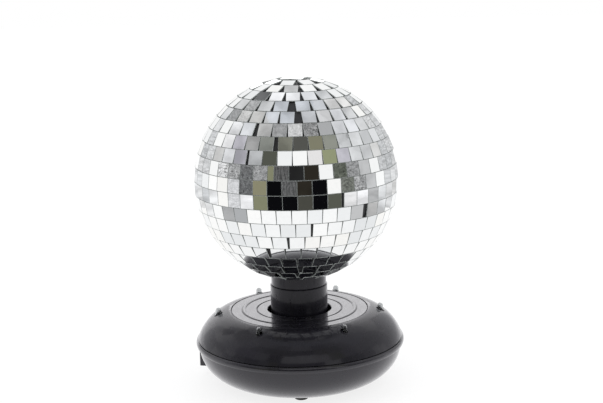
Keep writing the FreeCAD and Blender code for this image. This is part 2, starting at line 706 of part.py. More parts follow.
def second_gear():
    x, y, phase = train_layout()["second"]
    gear = gear_disc(PINION_TEETH, DRIVE_MODULE, phase, GEAR_FOOT_Z, SECOND_WHEEL_Z[0] + 0.5, x, y)
    wheel = gear_disc(WHEEL_TEETH, TRAIN_MODULE, phase, SECOND_WHEEL_Z[0], SECOND_WHEEL_Z[1], x, y)
    return gear.fuse(wheel).cut(cyl(PIN_R + PIN_PLAY, GEAR_FOOT_Z - 1, UPPER_PLATE_Z, x, y))


def first_gear():
    x, y, phase = train_layout()["first"]
    low = SECOND_WHEEL_Z[0] - 0.2
    gear = gear_disc(PINION_TEETH, TRAIN_MODULE, phase, low, FIRST_WHEEL_Z[0] + 0.5, x, y)
    wheel = gear_disc(WHEEL_TEETH, TRAIN_MODULE, phase, FIRST_WHEEL_Z[0], FIRST_WHEEL_Z[1], x, y)
    gear = gear.fuse(wheel).fuse(cyl(1.7, GEAR_FOOT_Z, low + 0.5, x, y))
    gear = gear.fuse(cyl(1.9, FIRST_WHEEL_Z[1] - 0.5, UPPER_PLATE_Z - 0.2, x, y))
    return gear.cut(cyl(PIN_R + PIN_PLAY, GEAR_FOOT_Z - 1, UPPER_PLATE_Z, x, y))


def motor_pinion():
    x, y, phase = train_layout()["motor"]
    low, high = FIRST_WHEEL_Z
    gear = gear_disc(PINION_TEETH, TRAIN_MODULE, phase, low - 0.2, high + 1, x, y)
    return gear.cut(cyl(MOTOR_SHAFT_R, FIRST_WHEEL_Z[0] - 1, UPPER_PLATE_Z, x, y))


def motor_shaft():
    x, y, _ = train_layout()["motor"]
    return cyl(MOTOR_SHAFT_R, FIRST_WHEEL_Z[0] - 0.5, UPPER_PLATE_Z + 6, x, y)


def gear_plate(z0, holes):
    plate = cyl(GEARBOX_R, z0, z0 + GEAR_PLATE_T, *GEARBOX_MID)
    for x, y in gearbox_posts():
        plate = plate.cut(cyl(1.6, z0 - 1, z0 + 3, x, y))
    for r, x, y in holes:
        plate = plate.cut(cyl(r, z0 - 1, z0 + 3, x, y))
    return plate


def pin_holes():
    layout = train_layout()
    return [(PIN_R,) + layout[name][:2] for name in ("second", "first")]


def gear_plate_lower():
    plate = gear_plate(LOWER_PLATE_Z, pin_holes() + [(3.5, 0, 0)])
    for x, y in gearbox_posts():
        plate = plate.fuse(tube(GEARBOX_POST_R, 1.6, LOWER_PLATE_Z, UPPER_PLATE_Z, x, y))
    return plate.removeSplitter()


def gear_plate_upper():
    x, y, _ = train_layout()["motor"]
    return gear_plate(UPPER_PLATE_Z, pin_holes() + [(3.5, 0, 0), (3.0, x, y)])


def gear_pins():
    return group([cyl(PIN_R, LOWER_PLATE_Z, UPPER_PLATE_Z + GEAR_PLATE_T, x, y)
                  for _, x, y in pin_holes()])


def shaft_bushes():
    bore = SHAFT_R + PIN_PLAY
    low, high = LOWER_PLATE_Z, UPPER_PLATE_Z
    lower = tube(3.5, bore, low, low + GEAR_PLATE_T).fuse(
        tube(4.5, bore, low + GEAR_PLATE_T, OUTPUT_Z[0] - 0.1))
    upper = tube(3.5, bore, high, high + GEAR_PLATE_T).fuse(tube(4.5, bore, high - 0.6, high))
    return group([lower.removeSplitter(), upper.removeSplitter()])


def gearbox_screws():
    top = UPPER_PLATE_Z + GEAR_PLATE_T
    return group([screw(x, y, top, 14.0, 1.35, 2.8, 2.0) for x, y in gearbox_posts()])


def motor_can():
    x, y, _ = train_layout()["motor"]
    low = UPPER_PLATE_Z + GEAR_PLATE_T
    can = cyl(MOTOR_R, low, MOTOR_TOP - 2, x, y)
    rims = [e for e in can.Edges if abs(e.BoundBox.ZMin - low) < 1e-3 and e.BoundBox.ZLength < 1e-3]
    can = can.makeFillet(0.8, rims)
    return can.cut(cyl(MOTOR_SHAFT_R + PIN_PLAY, low - 1, UPPER_PLATE_Z + 6.5, x, y))


def motor_end_cap():
    x, y, _ = train_layout()["motor"]
    cap = cyl(MOTOR_R - 0.4, MOTOR_TOP - 2, MOTOR_TOP - 0.8, x, y)
    cap = cap.fuse(cyl(3.0, MOTOR_TOP - 1, MOTOR_TOP, x, y))
    for sign in (-1, 1):
        tag = box(x + 6 * sign - 0.2, x + 6 * sign + 0.2, y - 1, y + 1, MOTOR_TOP - 1, MOTOR_TOP)
        cap = cap.fuse(tag)
    return cap.removeSplitter()


# ---- electrics ----------------------------------------------------------
def circuit_posts():
    return [(38.0, -22.0), (52.0, -4.0)]


def circuit_board():
    """Small board on two posts, with its driver chip, capacitor and lead terminals."""
    z = LOWER_PLATE_Z
    board = box(34, 56, -26, 0, z, z + BOARD_T)
    chip = box(42, 48, -16, -11, z + BOARD_T, z + BOARD_T + 1.6)
    capacitor = cyl(2.5, z + BOARD_T, z + BOARD_T + 7, 40, -6)
    terminal = box(50, 54, -24, -14, z + BOARD_T, z + BOARD_T + 6)
    return group([board, chip, capacitor, terminal])


def lead(start, middle, end):
    path = Part.Wire([Part.Arc(start, middle, end).toShape()])
    tangent = path.Edges[0].tangentAt(path.Edges[0].FirstParameter)
    section = Part.Wire([Part.Circle(start, tangent, 0.6).toShape()])
    return path.makePipeShell([section], True, True)


def leads():
    """Insulated leads: cells to switch, switch to board, board to motor and lamp board."""
    z = LOWER_PLATE_Z
    mx, my, _ = train_layout()["motor"]
    sx, sy = polar(HOUSING_FACE - SWITCH_DEPTH - 1.0, SWITCH_TURN)
    return group([
        lead(V(-BOX_HALF[0] - 0.8, 20, 16), V(-46, 24, 14), V(sx, sy + 1.5, SWITCH_Z + 2)),
        lead(V(-BOX_HALF[0] - 0.8, -28, 16), V(-52, -20, 15), V(sx, sy - 1.5, SWITCH_Z - 2)),
        lead(V(BOX_HALF[0] + 0.8, -26, 14), V(32, -34, 18), V(40, -29, z + 1)),
        lead(V(52, -12, z + 3), V(60, 6, 33), V(59, 12, BOARD_RING_Z - 0.8)),
        lead(V(mx + 6, my, MOTOR_TOP + 0.7), V(mx + 17, my + 5, MOTOR_TOP - 1),
             V(mx + 29, my + 13, BOARD_RING_Z + 2.4)),
    ])


def in_housing(shape):
    return turned(shape, SWITCH_TURN)


def switch_body():
    """Open-fronted pocket with a bezel, clipped into the housing's window."""
    hx, hz = SWITCH_HALF
    wx, wz = hx + SWITCH_WALL - 0.1, hz + SWITCH_WALL - 0.1
    face = HOUSING_FACE
    body = box(face - SWITCH_DEPTH, face, -wx, wx, SWITCH_Z - wz, SWITCH_Z + wz)
    bezel = box(face, face + BEZEL_T, -wx - 0.9, wx + 0.9, SWITCH_Z - wz - 0.9, SWITCH_Z + wz + 0.9)
    edges = [e for e in bezel.Edges if e.BoundBox.XMin > face + BEZEL_T - 0.01]
    body = body.fuse(bezel.makeChamfer(0.3, edges))
    pocket = box(face - SWITCH_DEPTH + 1, face + 3, -hx, hx, SWITCH_Z - hz, SWITCH_Z + hz)
    body = body.cut(pocket).cut(rocker_studs(STUD_R + 0.1, hx + STUD_REACH + 0.1))
    return in_housing(body.removeSplitter())


def rocker_pivot():
    x, y = polar(HOUSING_FACE - PIVOT_IN, SWITCH_TURN)
    return V(x, y, SWITCH_Z)


def rocker_studs(r, half):
    """Round bar along the rocker's axis, before it is turned to the housing's direction."""
    return Part.makeCylinder(r, 2 * half, V(HOUSING_FACE - PIVOT_IN, -half, SWITCH_Z), V(0, 1, 0))


def switch_rocker():
    """Rocker with a shallow V face, tipped to its off position, and its pivot studs."""
    hx, hz = ROCKER_HALF
    back, waist, tip = HOUSING_FACE - 5.0, HOUSING_FACE + 0.5, HOUSING_FACE + 1.2
    corners = [V(back, -hx, SWITCH_Z - hz * 0.7), V(HOUSING_FACE - 2.5, -hx, SWITCH_Z - hz),
               V(tip, -hx, SWITCH_Z - hz), V(waist, -hx, SWITCH_Z), V(tip, -hx, SWITCH_Z + hz),
               V(HOUSING_FACE - 2.5, -hx, SWITCH_Z + hz), V(back, -hx, SWITCH_Z + hz * 0.7)]
    corners.append(corners[0])
    body = Part.Face(Part.makePolygon(corners)).extrude(V(0, 2 * hx, 0))
    body = in_housing(body.fuse(rocker_studs(STUD_R, SWITCH_HALF[0] + STUD_REACH)))
    across = V(-math.sin(math.radians(SWITCH_TURN)), math.cos(math.radians(SWITCH_TURN)), 0)
    return turned(body, -ROCKER_TIP, rocker_pivot(), across)


# ---- output -------------------------------------------------------------
def nodes():
    parts = {
        "lower_shell": lower_shell(), "upper_shell": upper_shell(), "top_plate": top_plate(),
        "case_screws": case_screws(),
        "rubber_feet": rubber_feet(), "battery_box": battery_box(),
        "battery_contacts": battery_contacts(), "battery_door": battery_door(),
        "circuit_board": circuit_board(), "leads": leads(), "lamp_board": lamp_board(),
        "switch_body": switch_body(), "switch_rocker": switch_rocker(),
        "gear_plate_lower": gear_plate_lower(), "gear_plate_upper": gear_plate_upper(),
        "gear_pins": gear_pins(), "gearbox_screws": gearbox_screws(),
        "shaft_bushes": shaft_bushes(), "motor_can": motor_can(),
        "motor_end_cap": motor_end_cap(), "motor_shaft": motor_shaft(),
        "motor_pinion": motor_pinion(), "first_gear": first_gear(),
        "second_gear": second_gear(), "output_gear": output_gear(),
        "output_shaft": cyl(SHAFT_R, *SHAFT_Z), "neck_column": neck_column(),
        "ball_collar": ball_collar(), "ball_screws": ball_screws(),
        "core_lower": core_lower(), "core_upper": core_upper(),
        "mirror_row_01": mirror_cap(),
    }
    for i in range(3):
        parts["cell_%d" % (i + 1)] = cell(i)
    for i, turn in enumerate(lamp_turns()):
        parts["lamp_%d" % (i + 1)] = lamp(turn)
    for k in range(len(ROWS)):
        parts["mirror_row_%02d" % (k + 2)] = mirror_row(k)
    return parts


def main():
    os.makedirs("parts", exist_ok=True)
    for name, shape in nodes().items():
        solids = len(shape.Solids)
        if not shape.isValid() or solids < 1:
            raise ValueError("bad shape: " + name)
        shape.exportStep("parts/%s.step" % name)
        print("%-18s %3d solids  %10.1f mm3" % (name, solids, sum(s.Volume for s in shape.Solids)))


main()
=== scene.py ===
"""Looks for the table-top rotating mirror ball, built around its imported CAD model.

Metres, +Z up, the CAD model's frame: the spin axis is Z, the table is z = 0, -Y is the front.
"""

import json
import math
import random

import bmesh
import bpy
from mathutils import Matrix, Vector


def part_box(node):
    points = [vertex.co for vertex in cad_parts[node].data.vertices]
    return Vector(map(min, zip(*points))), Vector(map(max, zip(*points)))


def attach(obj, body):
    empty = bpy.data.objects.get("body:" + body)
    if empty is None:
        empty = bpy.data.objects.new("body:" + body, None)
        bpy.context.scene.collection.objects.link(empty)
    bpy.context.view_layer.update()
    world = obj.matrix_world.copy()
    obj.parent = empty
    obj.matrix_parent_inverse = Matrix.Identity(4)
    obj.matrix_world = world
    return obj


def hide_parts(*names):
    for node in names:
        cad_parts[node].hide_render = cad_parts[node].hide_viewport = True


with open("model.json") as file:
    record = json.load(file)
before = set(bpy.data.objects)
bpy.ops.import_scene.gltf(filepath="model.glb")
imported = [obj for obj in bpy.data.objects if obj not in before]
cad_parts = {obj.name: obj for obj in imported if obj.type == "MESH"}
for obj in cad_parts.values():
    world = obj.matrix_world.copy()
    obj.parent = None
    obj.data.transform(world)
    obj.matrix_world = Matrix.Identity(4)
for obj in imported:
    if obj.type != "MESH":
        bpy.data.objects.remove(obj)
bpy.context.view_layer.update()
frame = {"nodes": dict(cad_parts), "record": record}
nodes = frame["nodes"]

# ---- the object's own measures, from the CAD frame ---------------------------------------
ball_low, ball_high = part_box("core_lower")[0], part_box("core_upper")[1]
BALL_CENTRE = Vector((0.0, 0.0, (ball_low.z + ball_high.z) / 2))


# ---- node helpers ------------------------------------------------------------------------
class Look:
    """One procedural material: a principled shader and short calls that feed its sockets.

    Patterns lie in the object's own coordinates, so scales count cells to the metre.
    """

    def __init__(self, name, color=(0.5, 0.5, 0.5), rough=0.5, metal=0.0, **sockets):
        self.mat = bpy.data.materials.new(name)
        self.mat.use_nodes = True
        self.tree = self.mat.node_tree
        self.shader = self.tree.nodes["Principled BSDF"]
        self.set("Base Color", color)
        self.set("Roughness", rough)
        self.set("Metallic", metal)
        for socket, value in sockets.items():
            self.set(socket.replace("_", " "), value)
        self.coords = self.add("ShaderNodeTexCoord").outputs["Object"]

    def set(self, socket, value):
        """Gives a shader socket one value all over."""
        if isinstance(value, tuple) and len(value) == 3:
            value = (*value, 1.0)
        self.shader.inputs[socket].default_value = value

    def add(self, kind, **properties):
        """New node of that kind, with its settings."""
        node = self.tree.nodes.new(kind)
        for name, value in properties.items():
            setattr(node, name, value)
        return node

    def put(self, socket, source):
        """Feeds a socket of any node from an output, or sets it to a value."""
        if isinstance(source, bpy.types.NodeSocket):
            self.tree.links.new(source, socket)
        elif isinstance(source, tuple) and len(source) == 3 and socket.type == "RGBA":
            socket.default_value = (*source, 1.0)
        else:
            socket.default_value = source

    def feed(self, socket, source):
        """Feeds one of the shader's sockets."""
        self.put(self.shader.inputs[socket], source)

    def noise(self, scale, detail=4.0, rough=0.55, distort=0.0, stretch=None):
        """Soft random pattern; stretch multiplies the coordinates along X, Y and Z."""
        where = self.scaled(self.coords, stretch) if stretch else self.coords
        node = self.add("ShaderNodeTexNoise")
        self.put(node.inputs["Vector"], where)
        self.put(node.inputs["Scale"], scale)
        self.put(node.inputs["Detail"], detail)
        self.put(node.inputs["Roughness"], rough)
        self.put(node.inputs["Distortion"], distort)
        return node.outputs["Fac"]

    def scaled(self, coords, factors):
        node = self.add("ShaderNodeVectorMath", operation="MULTIPLY")
        self.put(node.inputs[0], coords)
        node.inputs[1].default_value = factors
        return node.outputs["Vector"]

    def cell_borders(self, scale):
        """Distance from the borders of random cells."""
        node = self.add("ShaderNodeTexVoronoi", feature="DISTANCE_TO_EDGE")
        self.put(node.inputs["Vector"], self.coords)
        self.put(node.inputs["Scale"], scale)
        return node.outputs["Distance"]

    def ramp(self, source, stops):
        """Colour ramp from (position, grey or colour) stops."""
        node = self.add("ShaderNodeValToRGB")
        points = node.color_ramp.elements
        while len(points) < len(stops):
            points.new(0.5)
        for point, (at, tone) in zip(points, stops):
            point.position = at
            tone = tone if isinstance(tone, tuple) else (tone, tone, tone)
            point.color = (*tone, 1.0)
        self.put(node.inputs["Fac"], source)
        return node.outputs["Color"]

    def span(self, source, low, high, start=0.0, end=1.0):
        """source from start to end, mapped to low to high."""
        node = self.add("ShaderNodeMapRange")
        for socket, value in (("Value", source), ("From Min", start), ("From Max", end),
                              ("To Min", low), ("To Max", high)):
            self.put(node.inputs[socket], value)
        return node.outputs["Result"]

    def product(self, a, b):
        node = self.add("ShaderNodeMath", operation="MULTIPLY")
        self.put(node.inputs[0], a)
        self.put(node.inputs[1], b)
        return node.outputs[0]

    def mix(self, amount, a, b):
        """Colour a, turning into b as amount goes from 0 to 1."""
        node = self.add("ShaderNodeMix", data_type="RGBA")
        self.put(node.inputs["Factor"], amount)
        self.put(node.inputs["A"], a)
        self.put(node.inputs["B"], b)
        return node.outputs["Result"]

    def bump(self, height, distance, strength=1.0, after=None):
        """Normal for a relief that is distance metres high, on top of another one."""
        node = self.add("ShaderNodeBump")
        self.put(node.inputs["Height"], height)
        node.inputs["Distance"].default_value = distance
        node.inputs["Strength"].default_value = strength
        if after:
            self.put(node.inputs["Normal"], after)
        return node.outputs["Normal"]

    def attribute(self, name):
        """Value that the mesh's faces carry under that name."""
        return self.add("ShaderNodeAttribute", attribute_name=name).outputs["Fac"]

    def facing_up(self):
        """1 on surfaces that face up, 0 on the sides and below."""
        split = self.add("ShaderNodeSeparateXYZ")
        self.put(split.inputs[0], self.add("ShaderNodeNewGeometry").outputs["Normal"])
        return self.span(split.outputs["Z"], 0.0, 1.0, 0.3, 1.0)


def plastic(name, dark, light, rough, grain, depth, **sockets):
    """Moulded plastic: faint tone drift, a fine surface grain and uneven sheen."""
    look = Look(name, dark, rough[0], **sockets)
    drift = look.noise(38.0, 3.0)
    look.feed("Base Color", look.ramp(drift, [(0.35, dark), (0.7, light)]))
    look.feed("Roughness", look.span(look.noise(95.0, 5.0), rough[0], rough[1], 0.3, 0.7))
    look.feed("Normal", look.bump(look.noise(grain, 2.0), depth))
    return look


def metal(name, dark, light, rough, stretch=(1.0, 1.0, 1.0)):
    """Bare metal: fine drawn or ground lines along one way, and dulled patches."""
    look = Look(name, light, rough[0], 1.0)
    lines = look.noise(900.0, 3.0, stretch=stretch)
    look.feed("Base Color", look.ramp(look.noise(150.0, 4.0), [(0.3, dark), (0.65, light)]))
    look.feed("Roughness", look.span(lines, rough[0], rough[1], 0.3, 0.7))
    look.feed("Normal", look.bump(lines, 0.00001, 0.6))
    return look


# ---- materials ---------------------------------------------------------------------------
def mirror_glass():
    """Silvered face: slightly wavy and smeared, each tile with a silver tone of its own."""
    look = Look("mirror_glass", (0.94, 0.95, 0.95), 0.02, 1.0)
    tone = look.attribute("tile_tone")
    silver = look.ramp(tone, [(0.0, (0.74, 0.76, 0.77)), (0.2, (0.86, 0.875, 0.88)),
                              (0.8, (0.945, 0.95, 0.945)), (1.0, (0.90, 0.895, 0.87))])
    smear = look.noise(240.0, 5.0, 0.6, 0.8)
    look.feed("Base Color", look.mix(look.span(smear, 0.0, 0.3, 0.5, 0.8), silver,
                                     (0.76, 0.77, 0.77)))
    look.feed("Roughness", look.span(smear, 0.012, 0.06, 0.5, 0.85))
    bow = look.product(look.noise(75.0, 1.0), look.span(tone, 0.2, 1.0, 0.75, 1.0))
    wave = look.bump(bow, 0.00012, 0.5)
    look.feed("Normal", look.bump(look.noise(420.0, 2.0), 0.000005, 0.5, wave))
    return look


def cut_glass():
    """Scored and snapped glass edge: it mirrors its surroundings dully, with shell-like chips."""
    look = Look("cut_glass", (0.5, 0.52, 0.52), 0.3, 0.35)
    chips = look.noise(1300.0, 4.0, 0.7)
    look.feed("Base Color", look.ramp(chips, [(0.3, (0.36, 0.385, 0.38)),
                                              (0.62, (0.60, 0.63, 0.62))]))
    look.feed("Roughness", look.span(chips, 0.15, 0.45, 0.3, 0.7))
    look.feed("Normal", look.bump(chips, 0.00008, 0.8))
    return look


def casing_gloss(name, ior, coat_ior):
    """Polished black moulding: faint flow, fine wipe marks and a trace of settled dust."""
    look = Look(name, (0.007, 0.007, 0.009), 0.3, IOR=ior,
                Coat_Weight=1.0, Coat_IOR=coat_ior, Coat_Roughness=0.08,
                Coat_Tint=(0.97, 0.96, 1.0), Specular_Tint=(0.95, 0.93, 1.0))
    drift = look.noise(22.0, 3.0)
    body = look.ramp(drift, [(0.3, (0.0062, 0.006, 0.008)), (0.7, (0.0088, 0.0086, 0.0112))])
    specks = look.span(look.noise(2300.0, 2.0), 0.0, 1.0, 0.72, 0.8)
    dust = look.product(specks, look.facing_up())
    look.feed("Base Color", look.mix(look.product(dust, 0.3), body, (0.10, 0.10, 0.095)))
    wipes = look.noise(300.0, 4.0, stretch=(1.0, 0.3, 0.6), distort=0.6)
    look.feed("Roughness", look.span(wipes, 0.26, 0.34, 0.35, 0.7))
    flow = look.bump(look.noise(48.0, 1.5), 0.00005, 0.35)
    look.feed("Normal", look.bump(look.noise(1100.0, 2.0), 0.000003, 0.3, flow))
    return look


def clear_lens():
    """Smoke-tinted moulded lens, a little milky inside."""
    look = Look("clear_lens", (0.65, 0.65, 0.66), 0.03, Transmission_Weight=1.0, IOR=1.24)
    look.feed("Roughness", look.span(look.noise(900.0, 3.0), 0.0, 0.04, 0.4, 0.75))
    look.feed("Base Color", look.ramp(look.noise(500.0), [(0.3, (0.6, 0.61, 0.62)),
                                                          (0.7, (0.7, 0.71, 0.71))]))
    look.feed("Normal", look.bump(look.noise(320.0, 2.0), 0.00002, 0.3))
    return look


def board():
    """Circuit board: green mask over darker copper tracks."""
    look = Look("board_green", (0.02, 0.16, 0.06), 0.35)
    tracks = look.span(look.cell_borders(260.0), 0.0, 1.0, 0.06, 0.09)
    look.feed("Base Color", look.mix(tracks, (0.05, 0.26, 0.11), (0.015, 0.13, 0.05)))
    look.feed("Roughness", look.span(look.noise(400.0), 0.28, 0.42))
    look.feed("Normal", look.bump(tracks, 0.00003, 0.6))
    return look


def jacket():
    """Printed battery sleeve: two plain bands of colour and a wrap seam's faint grain."""
    look = Look("cell_jacket", (0.1, 0.1, 0.12), 0.3, 0.35)
    split = look.add("ShaderNodeSeparateXYZ")
    look.put(split.inputs[0], look.coords)
    band = look.span(split.outputs["Y"], 0.0, 1.0, 0.008, 0.0085)
    look.feed("Base Color", look.mix(band, (0.06, 0.065, 0.08), (0.62, 0.36, 0.09)))
    look.feed("Roughness", look.span(look.noise(300.0), 0.2, 0.36))
    look.feed("Normal", look.bump(look.noise(700.0), 0.00001, 0.4))
    return look


looks = {
    "black_gloss": casing_gloss("casing_gloss", 1.3, 1.25),
    "black_plastic": plastic("black_plastic", (0.022, 0.022, 0.024), (0.034, 0.034, 0.036),
                             (0.42, 0.6), 1600.0, 0.00003),
    "core_black": plastic("core_black", (0.012, 0.012, 0.013), (0.024, 0.024, 0.026),
                          (0.35, 0.55), 900.0, 0.00003),
    "mirror_tile": mirror_glass(),
    "foot_rubber": plastic("foot_rubber", (0.018, 0.018, 0.018), (0.036, 0.036, 0.035),
                           (0.7, 0.92), 1400.0, 0.00006),
    "lamp_clear": clear_lens(),
    "screw_steel": metal("screw_steel", (0.36, 0.36, 0.37), (0.55, 0.55, 0.56), (0.25, 0.42)),
    "shaft_steel": metal("shaft_steel", (0.5, 0.5, 0.5), (0.66, 0.66, 0.67), (0.14, 0.3),
                         (1.0, 1.0, 8.0)),
    "bush_bronze": metal("bush_bronze", (0.45, 0.28, 0.13), (0.66, 0.45, 0.22), (0.35, 0.5)),
    "motor_metal": metal("motor_metal", (0.52, 0.52, 0.53), (0.68, 0.68, 0.69), (0.2, 0.32),
                         (0.2, 0.2, 3.0)),
    "gear_white": plastic("gear_white", (0.72, 0.71, 0.67), (0.84, 0.83, 0.79), (0.32, 0.45),
                          1200.0, 0.00002, Subsurface_Weight=0.1),
    "gearbox_plastic": plastic("gearbox_plastic", (0.13, 0.14, 0.15), (0.19, 0.2, 0.21),
                               (0.45, 0.6), 1300.0, 0.00003),
    "contact_metal": metal("contact_metal", (0.6, 0.6, 0.6), (0.76, 0.76, 0.77), (0.16, 0.3),
                           (1.0, 1.0, 6.0)),
    "cell_jacket": jacket(),
    "board_green": board(),
    "lead_sleeve": plastic("lead_sleeve", (0.34, 0.02, 0.02), (0.46, 0.03, 0.03),
                           (0.4, 0.55), 900.0, 0.00002),
    "rocker_plastic": plastic("rocker_plastic", (0.016, 0.016, 0.017), (0.028, 0.028, 0.03),
                              (0.26, 0.4), 1500.0, 0.00002),
}
edge_glass = cut_glass()
bowl_gloss = casing_gloss("bowl_gloss", 1.43, 1.38)    # the bowl's moulding shines a bit more

for part in frame["record"]["subparts"]:
    data = nodes[part["node"]].data
    data.materials.clear()
    bowl = part["node"] == "lower_shell"
    data.materials.append((bowl_gloss if bowl else looks[part["material_slot"]]).mat)


# ---- mirror tiles ------------------------------------------------------------------------
ARRIS = 0.00008                  # cut edges are rubbed down by this much
SAME_POINT = 1e-6                # corner points closer than this are one
SAME_PLANE = math.radians(1)     # triangles that turn less than this are one flat face
FACES_OUT = 0.95                 # cosine of a face's turn from straight out of the ball


def whole_tile(first):
    """All the faces of the tile that has this face."""
    tile = {first}
    front = [first]
    while front:
        near = {f for e in front.pop().edges for f in e.link_faces} - tile
        tile |= near
        front += near
    return tile


def tile_row(name, draw):
    """The row's tiles with rubbed-down edges, as one piece, each tile with its own tone."""
    bm = bmesh.new()
    bm.from_mesh(nodes[name].data)
    bmesh.ops.remove_doubles(bm, verts=bm.verts, dist=SAME_POINT)
    bmesh.ops.dissolve_limit(bm, angle_limit=SAME_PLANE, verts=bm.verts, edges=bm.edges)
    tone = bm.faces.layers.float.new("tile_tone")
    bmesh.ops.bevel(bm, geom=bm.edges[:], offset=ARRIS, segments=1, affect="EDGES", profile=0.5)
    bm.normal_update()
    done = set()
    for first in bm.faces:       # in the mesh's own order, so the draws fall the same each run
        if first in done:
            continue
        tile = whole_tile(first)
        done |= tile
        value = draw.random()
        for face in tile:
            face.smooth = False
            face[tone] = value
            out = (face.calc_center_median() - BALL_CENTRE).normalized()
            face.material_index = 0 if abs(face.normal.dot(out)) > FACES_OUT else 1
    mesh = bpy.data.meshes.new("tiles_" + name[-2:])
    bm.to_mesh(mesh)
    bm.free()
    mesh.materials.append(looks["mirror_tile"].mat)
    mesh.materials.append(edge_glass.mat)
    row = bpy.data.objects.new(mesh.name, mesh)
    bpy.context.scene.collection.objects.link(row)
    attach(row, "ball")
    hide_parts(name)


FIRST_SEED = 100
for index, name in enumerate(sorted(n for n in nodes if n.startswith("mirror_row_"))):
    tile_row(name, random.Random(FIRST_SEED + index))


# ---- studio ------------------------------------------------------------------------------
def mesh_object(name, verts, faces, material):
    """New stage object."""
    mesh = bpy.data.meshes.new(name)
    mesh.from_pydata(verts, [], faces)
    mesh.materials.append(material)
    obj = bpy.data.objects.new(name, mesh)
    bpy.context.scene.collection.objects.link(obj)
    return obj


TABLE_GLOW = 0.82        # the white table is lit from below as well
TABLE_HALF = 4


def paper():
    """Matt white table, faintly lit from below, with the slightest fibre."""
    look = Look("paper", (0.15, 0.15, 0.15), 0.8, Emission_Strength=TABLE_GLOW)
    look.set("Emission Color", (1.0, 1.0, 1.0))
    fibre = look.noise(260.0, 5.0)
    look.feed("Base Color", look.ramp(fibre, [(0.3, (0.14, 0.14, 0.145)), (0.7, 0.17)]))
    return look.mat


mesh_object("floor", [(x * TABLE_HALF, y * TABLE_HALF, 0)
                      for x, y in ((-1, -1), (1, -1), (1, 1), (-1, 1))],
            [(0, 1, 2, 3)], paper())


# Pattern, scale, detail, where its ramp starts and ends, and its darkest and lightest shares.
TEXTURES = {
    "mottled": ("ShaderNodeTexNoise", 480.0, 2.0, 0.43, 0.57, 0.35, 1.75),
    "frosted": ("ShaderNodeTexNoise", 300.0, 3.0, 0.40, 0.60, 0.72, 1.25),
    "cloudy": ("ShaderNodeTexNoise", 22.0, 4.0, 0.35, 0.65, 0.74, 1.24),
    "striped": ("ShaderNodeTexWave", 55.0, 1.0, 0.1, 0.9, 0.5, 1.6),
}


def glow(name, tone, texture):
    """Room surface that only reflections see: its tone, drifting, mottled or in stripes."""
    mat = bpy.data.materials.new(name)
    mat.use_nodes = True
    tree = mat.node_tree
    tree.nodes.clear()
    out = tree.nodes.new("ShaderNodeOutputMaterial")
    emit = tree.nodes.new("ShaderNodeEmission")
    tree.links.new(emit.outputs[0], out.inputs[0])
    emit.inputs["Color"].default_value = (*tone, 1.0)
    if texture == "plain":
        return mat
    kind, scale, detail, start, end, dark, light = TEXTURES[texture]
    grain = tree.nodes.new(kind)
    grain.inputs["Scale"].default_value = scale
    grain.inputs["Detail"].default_value = detail
    where = tree.nodes.new("ShaderNodeTexCoord").outputs["Object"]
    tree.links.new(where, grain.inputs["Vector"])
    ramp = tree.nodes.new("ShaderNodeValToRGB")
    low, high = ramp.color_ramp.elements
    low.position, high.position = start, end
    low.color = (*(c * dark for c in tone), 1.0)
    high.color = (*(c * light for c in tone), 1.0)
    tree.links.new(grain.outputs["Fac"], ramp.inputs["Fac"])
    tree.links.new(ramp.outputs["Color"], emit.inputs["Color"])
    return mat


def reflected_only(obj):
    """Hides the object from everything but mirror-like reflections."""
    for kind in ("camera", "diffuse", "transmission", "volume_scatter", "shadow"):
        setattr(obj, "visible_" + kind, False)


WALL_R = 1.5             # the room's walls and ceiling, from the ball's middle
FLOOR_LIFT = 0.001       # patches that lie on the table are this far above it
CARD_STEP = (4, 3)       # degrees of azimuth and elevation between a card's points


def room_point(azimuth, elevation):
    """Point that the ball's middle sees at that direction: on the wall, or on the floor."""
    a, e = math.radians(azimuth), math.radians(elevation)
    way = Vector((math.sin(a) * math.cos(e), -math.cos(a) * math.cos(e), math.sin(e)))
    reach = WALL_R
    if way.z < 0:
        reach = min(reach, (FLOOR_LIFT - BALL_CENTRE.z) / way.z)
    return BALL_CENTRE + way * reach


def card(name, azimuths, elevations, tone, texture):
    """Patch of the room between two azimuths (0 is the front, + to the right) and two
    elevations in degrees, seen only in reflections."""
    wide = max(1, round((azimuths[1] - azimuths[0]) / CARD_STEP[0]))
    high = max(1, round((elevations[1] - elevations[0]) / CARD_STEP[1]))
    verts = []
    for j in range(high + 1):
        e = elevations[0] + (elevations[1] - elevations[0]) * j / high
        for i in range(wide + 1):
            a = azimuths[0] + (azimuths[1] - azimuths[0]) * i / wide
            verts.append(room_point(a, e))
    faces = []
    for j in range(high):
        for i in range(wide):
            k = j * (wide + 1) + i
            faces.append((k, k + 1, k + wide + 2, k + wide + 1))
    reflected_only(mesh_object(name, verts, faces, glow(name, tone, texture)))


def grey(value):
    """Faintly cool grey."""
    return (value, value * 1.005, value * 1.02)


BLACK = (0.004, 0.004, 0.005)
DARK = (0.03, 0.026, 0.02)
SHADE = (0.10, 0.105, 0.085)
OLIVE = (0.24, 0.245, 0.16)
HAZE = (0.50, 0.49, 0.54)
PALE = (0.70, 0.71, 0.74)
LIGHT = (0.86, 0.86, 0.88)
WHITE = (1.0, 1.0, 1.0)
BACKDROP = (2.0, 2.0, 2.0)

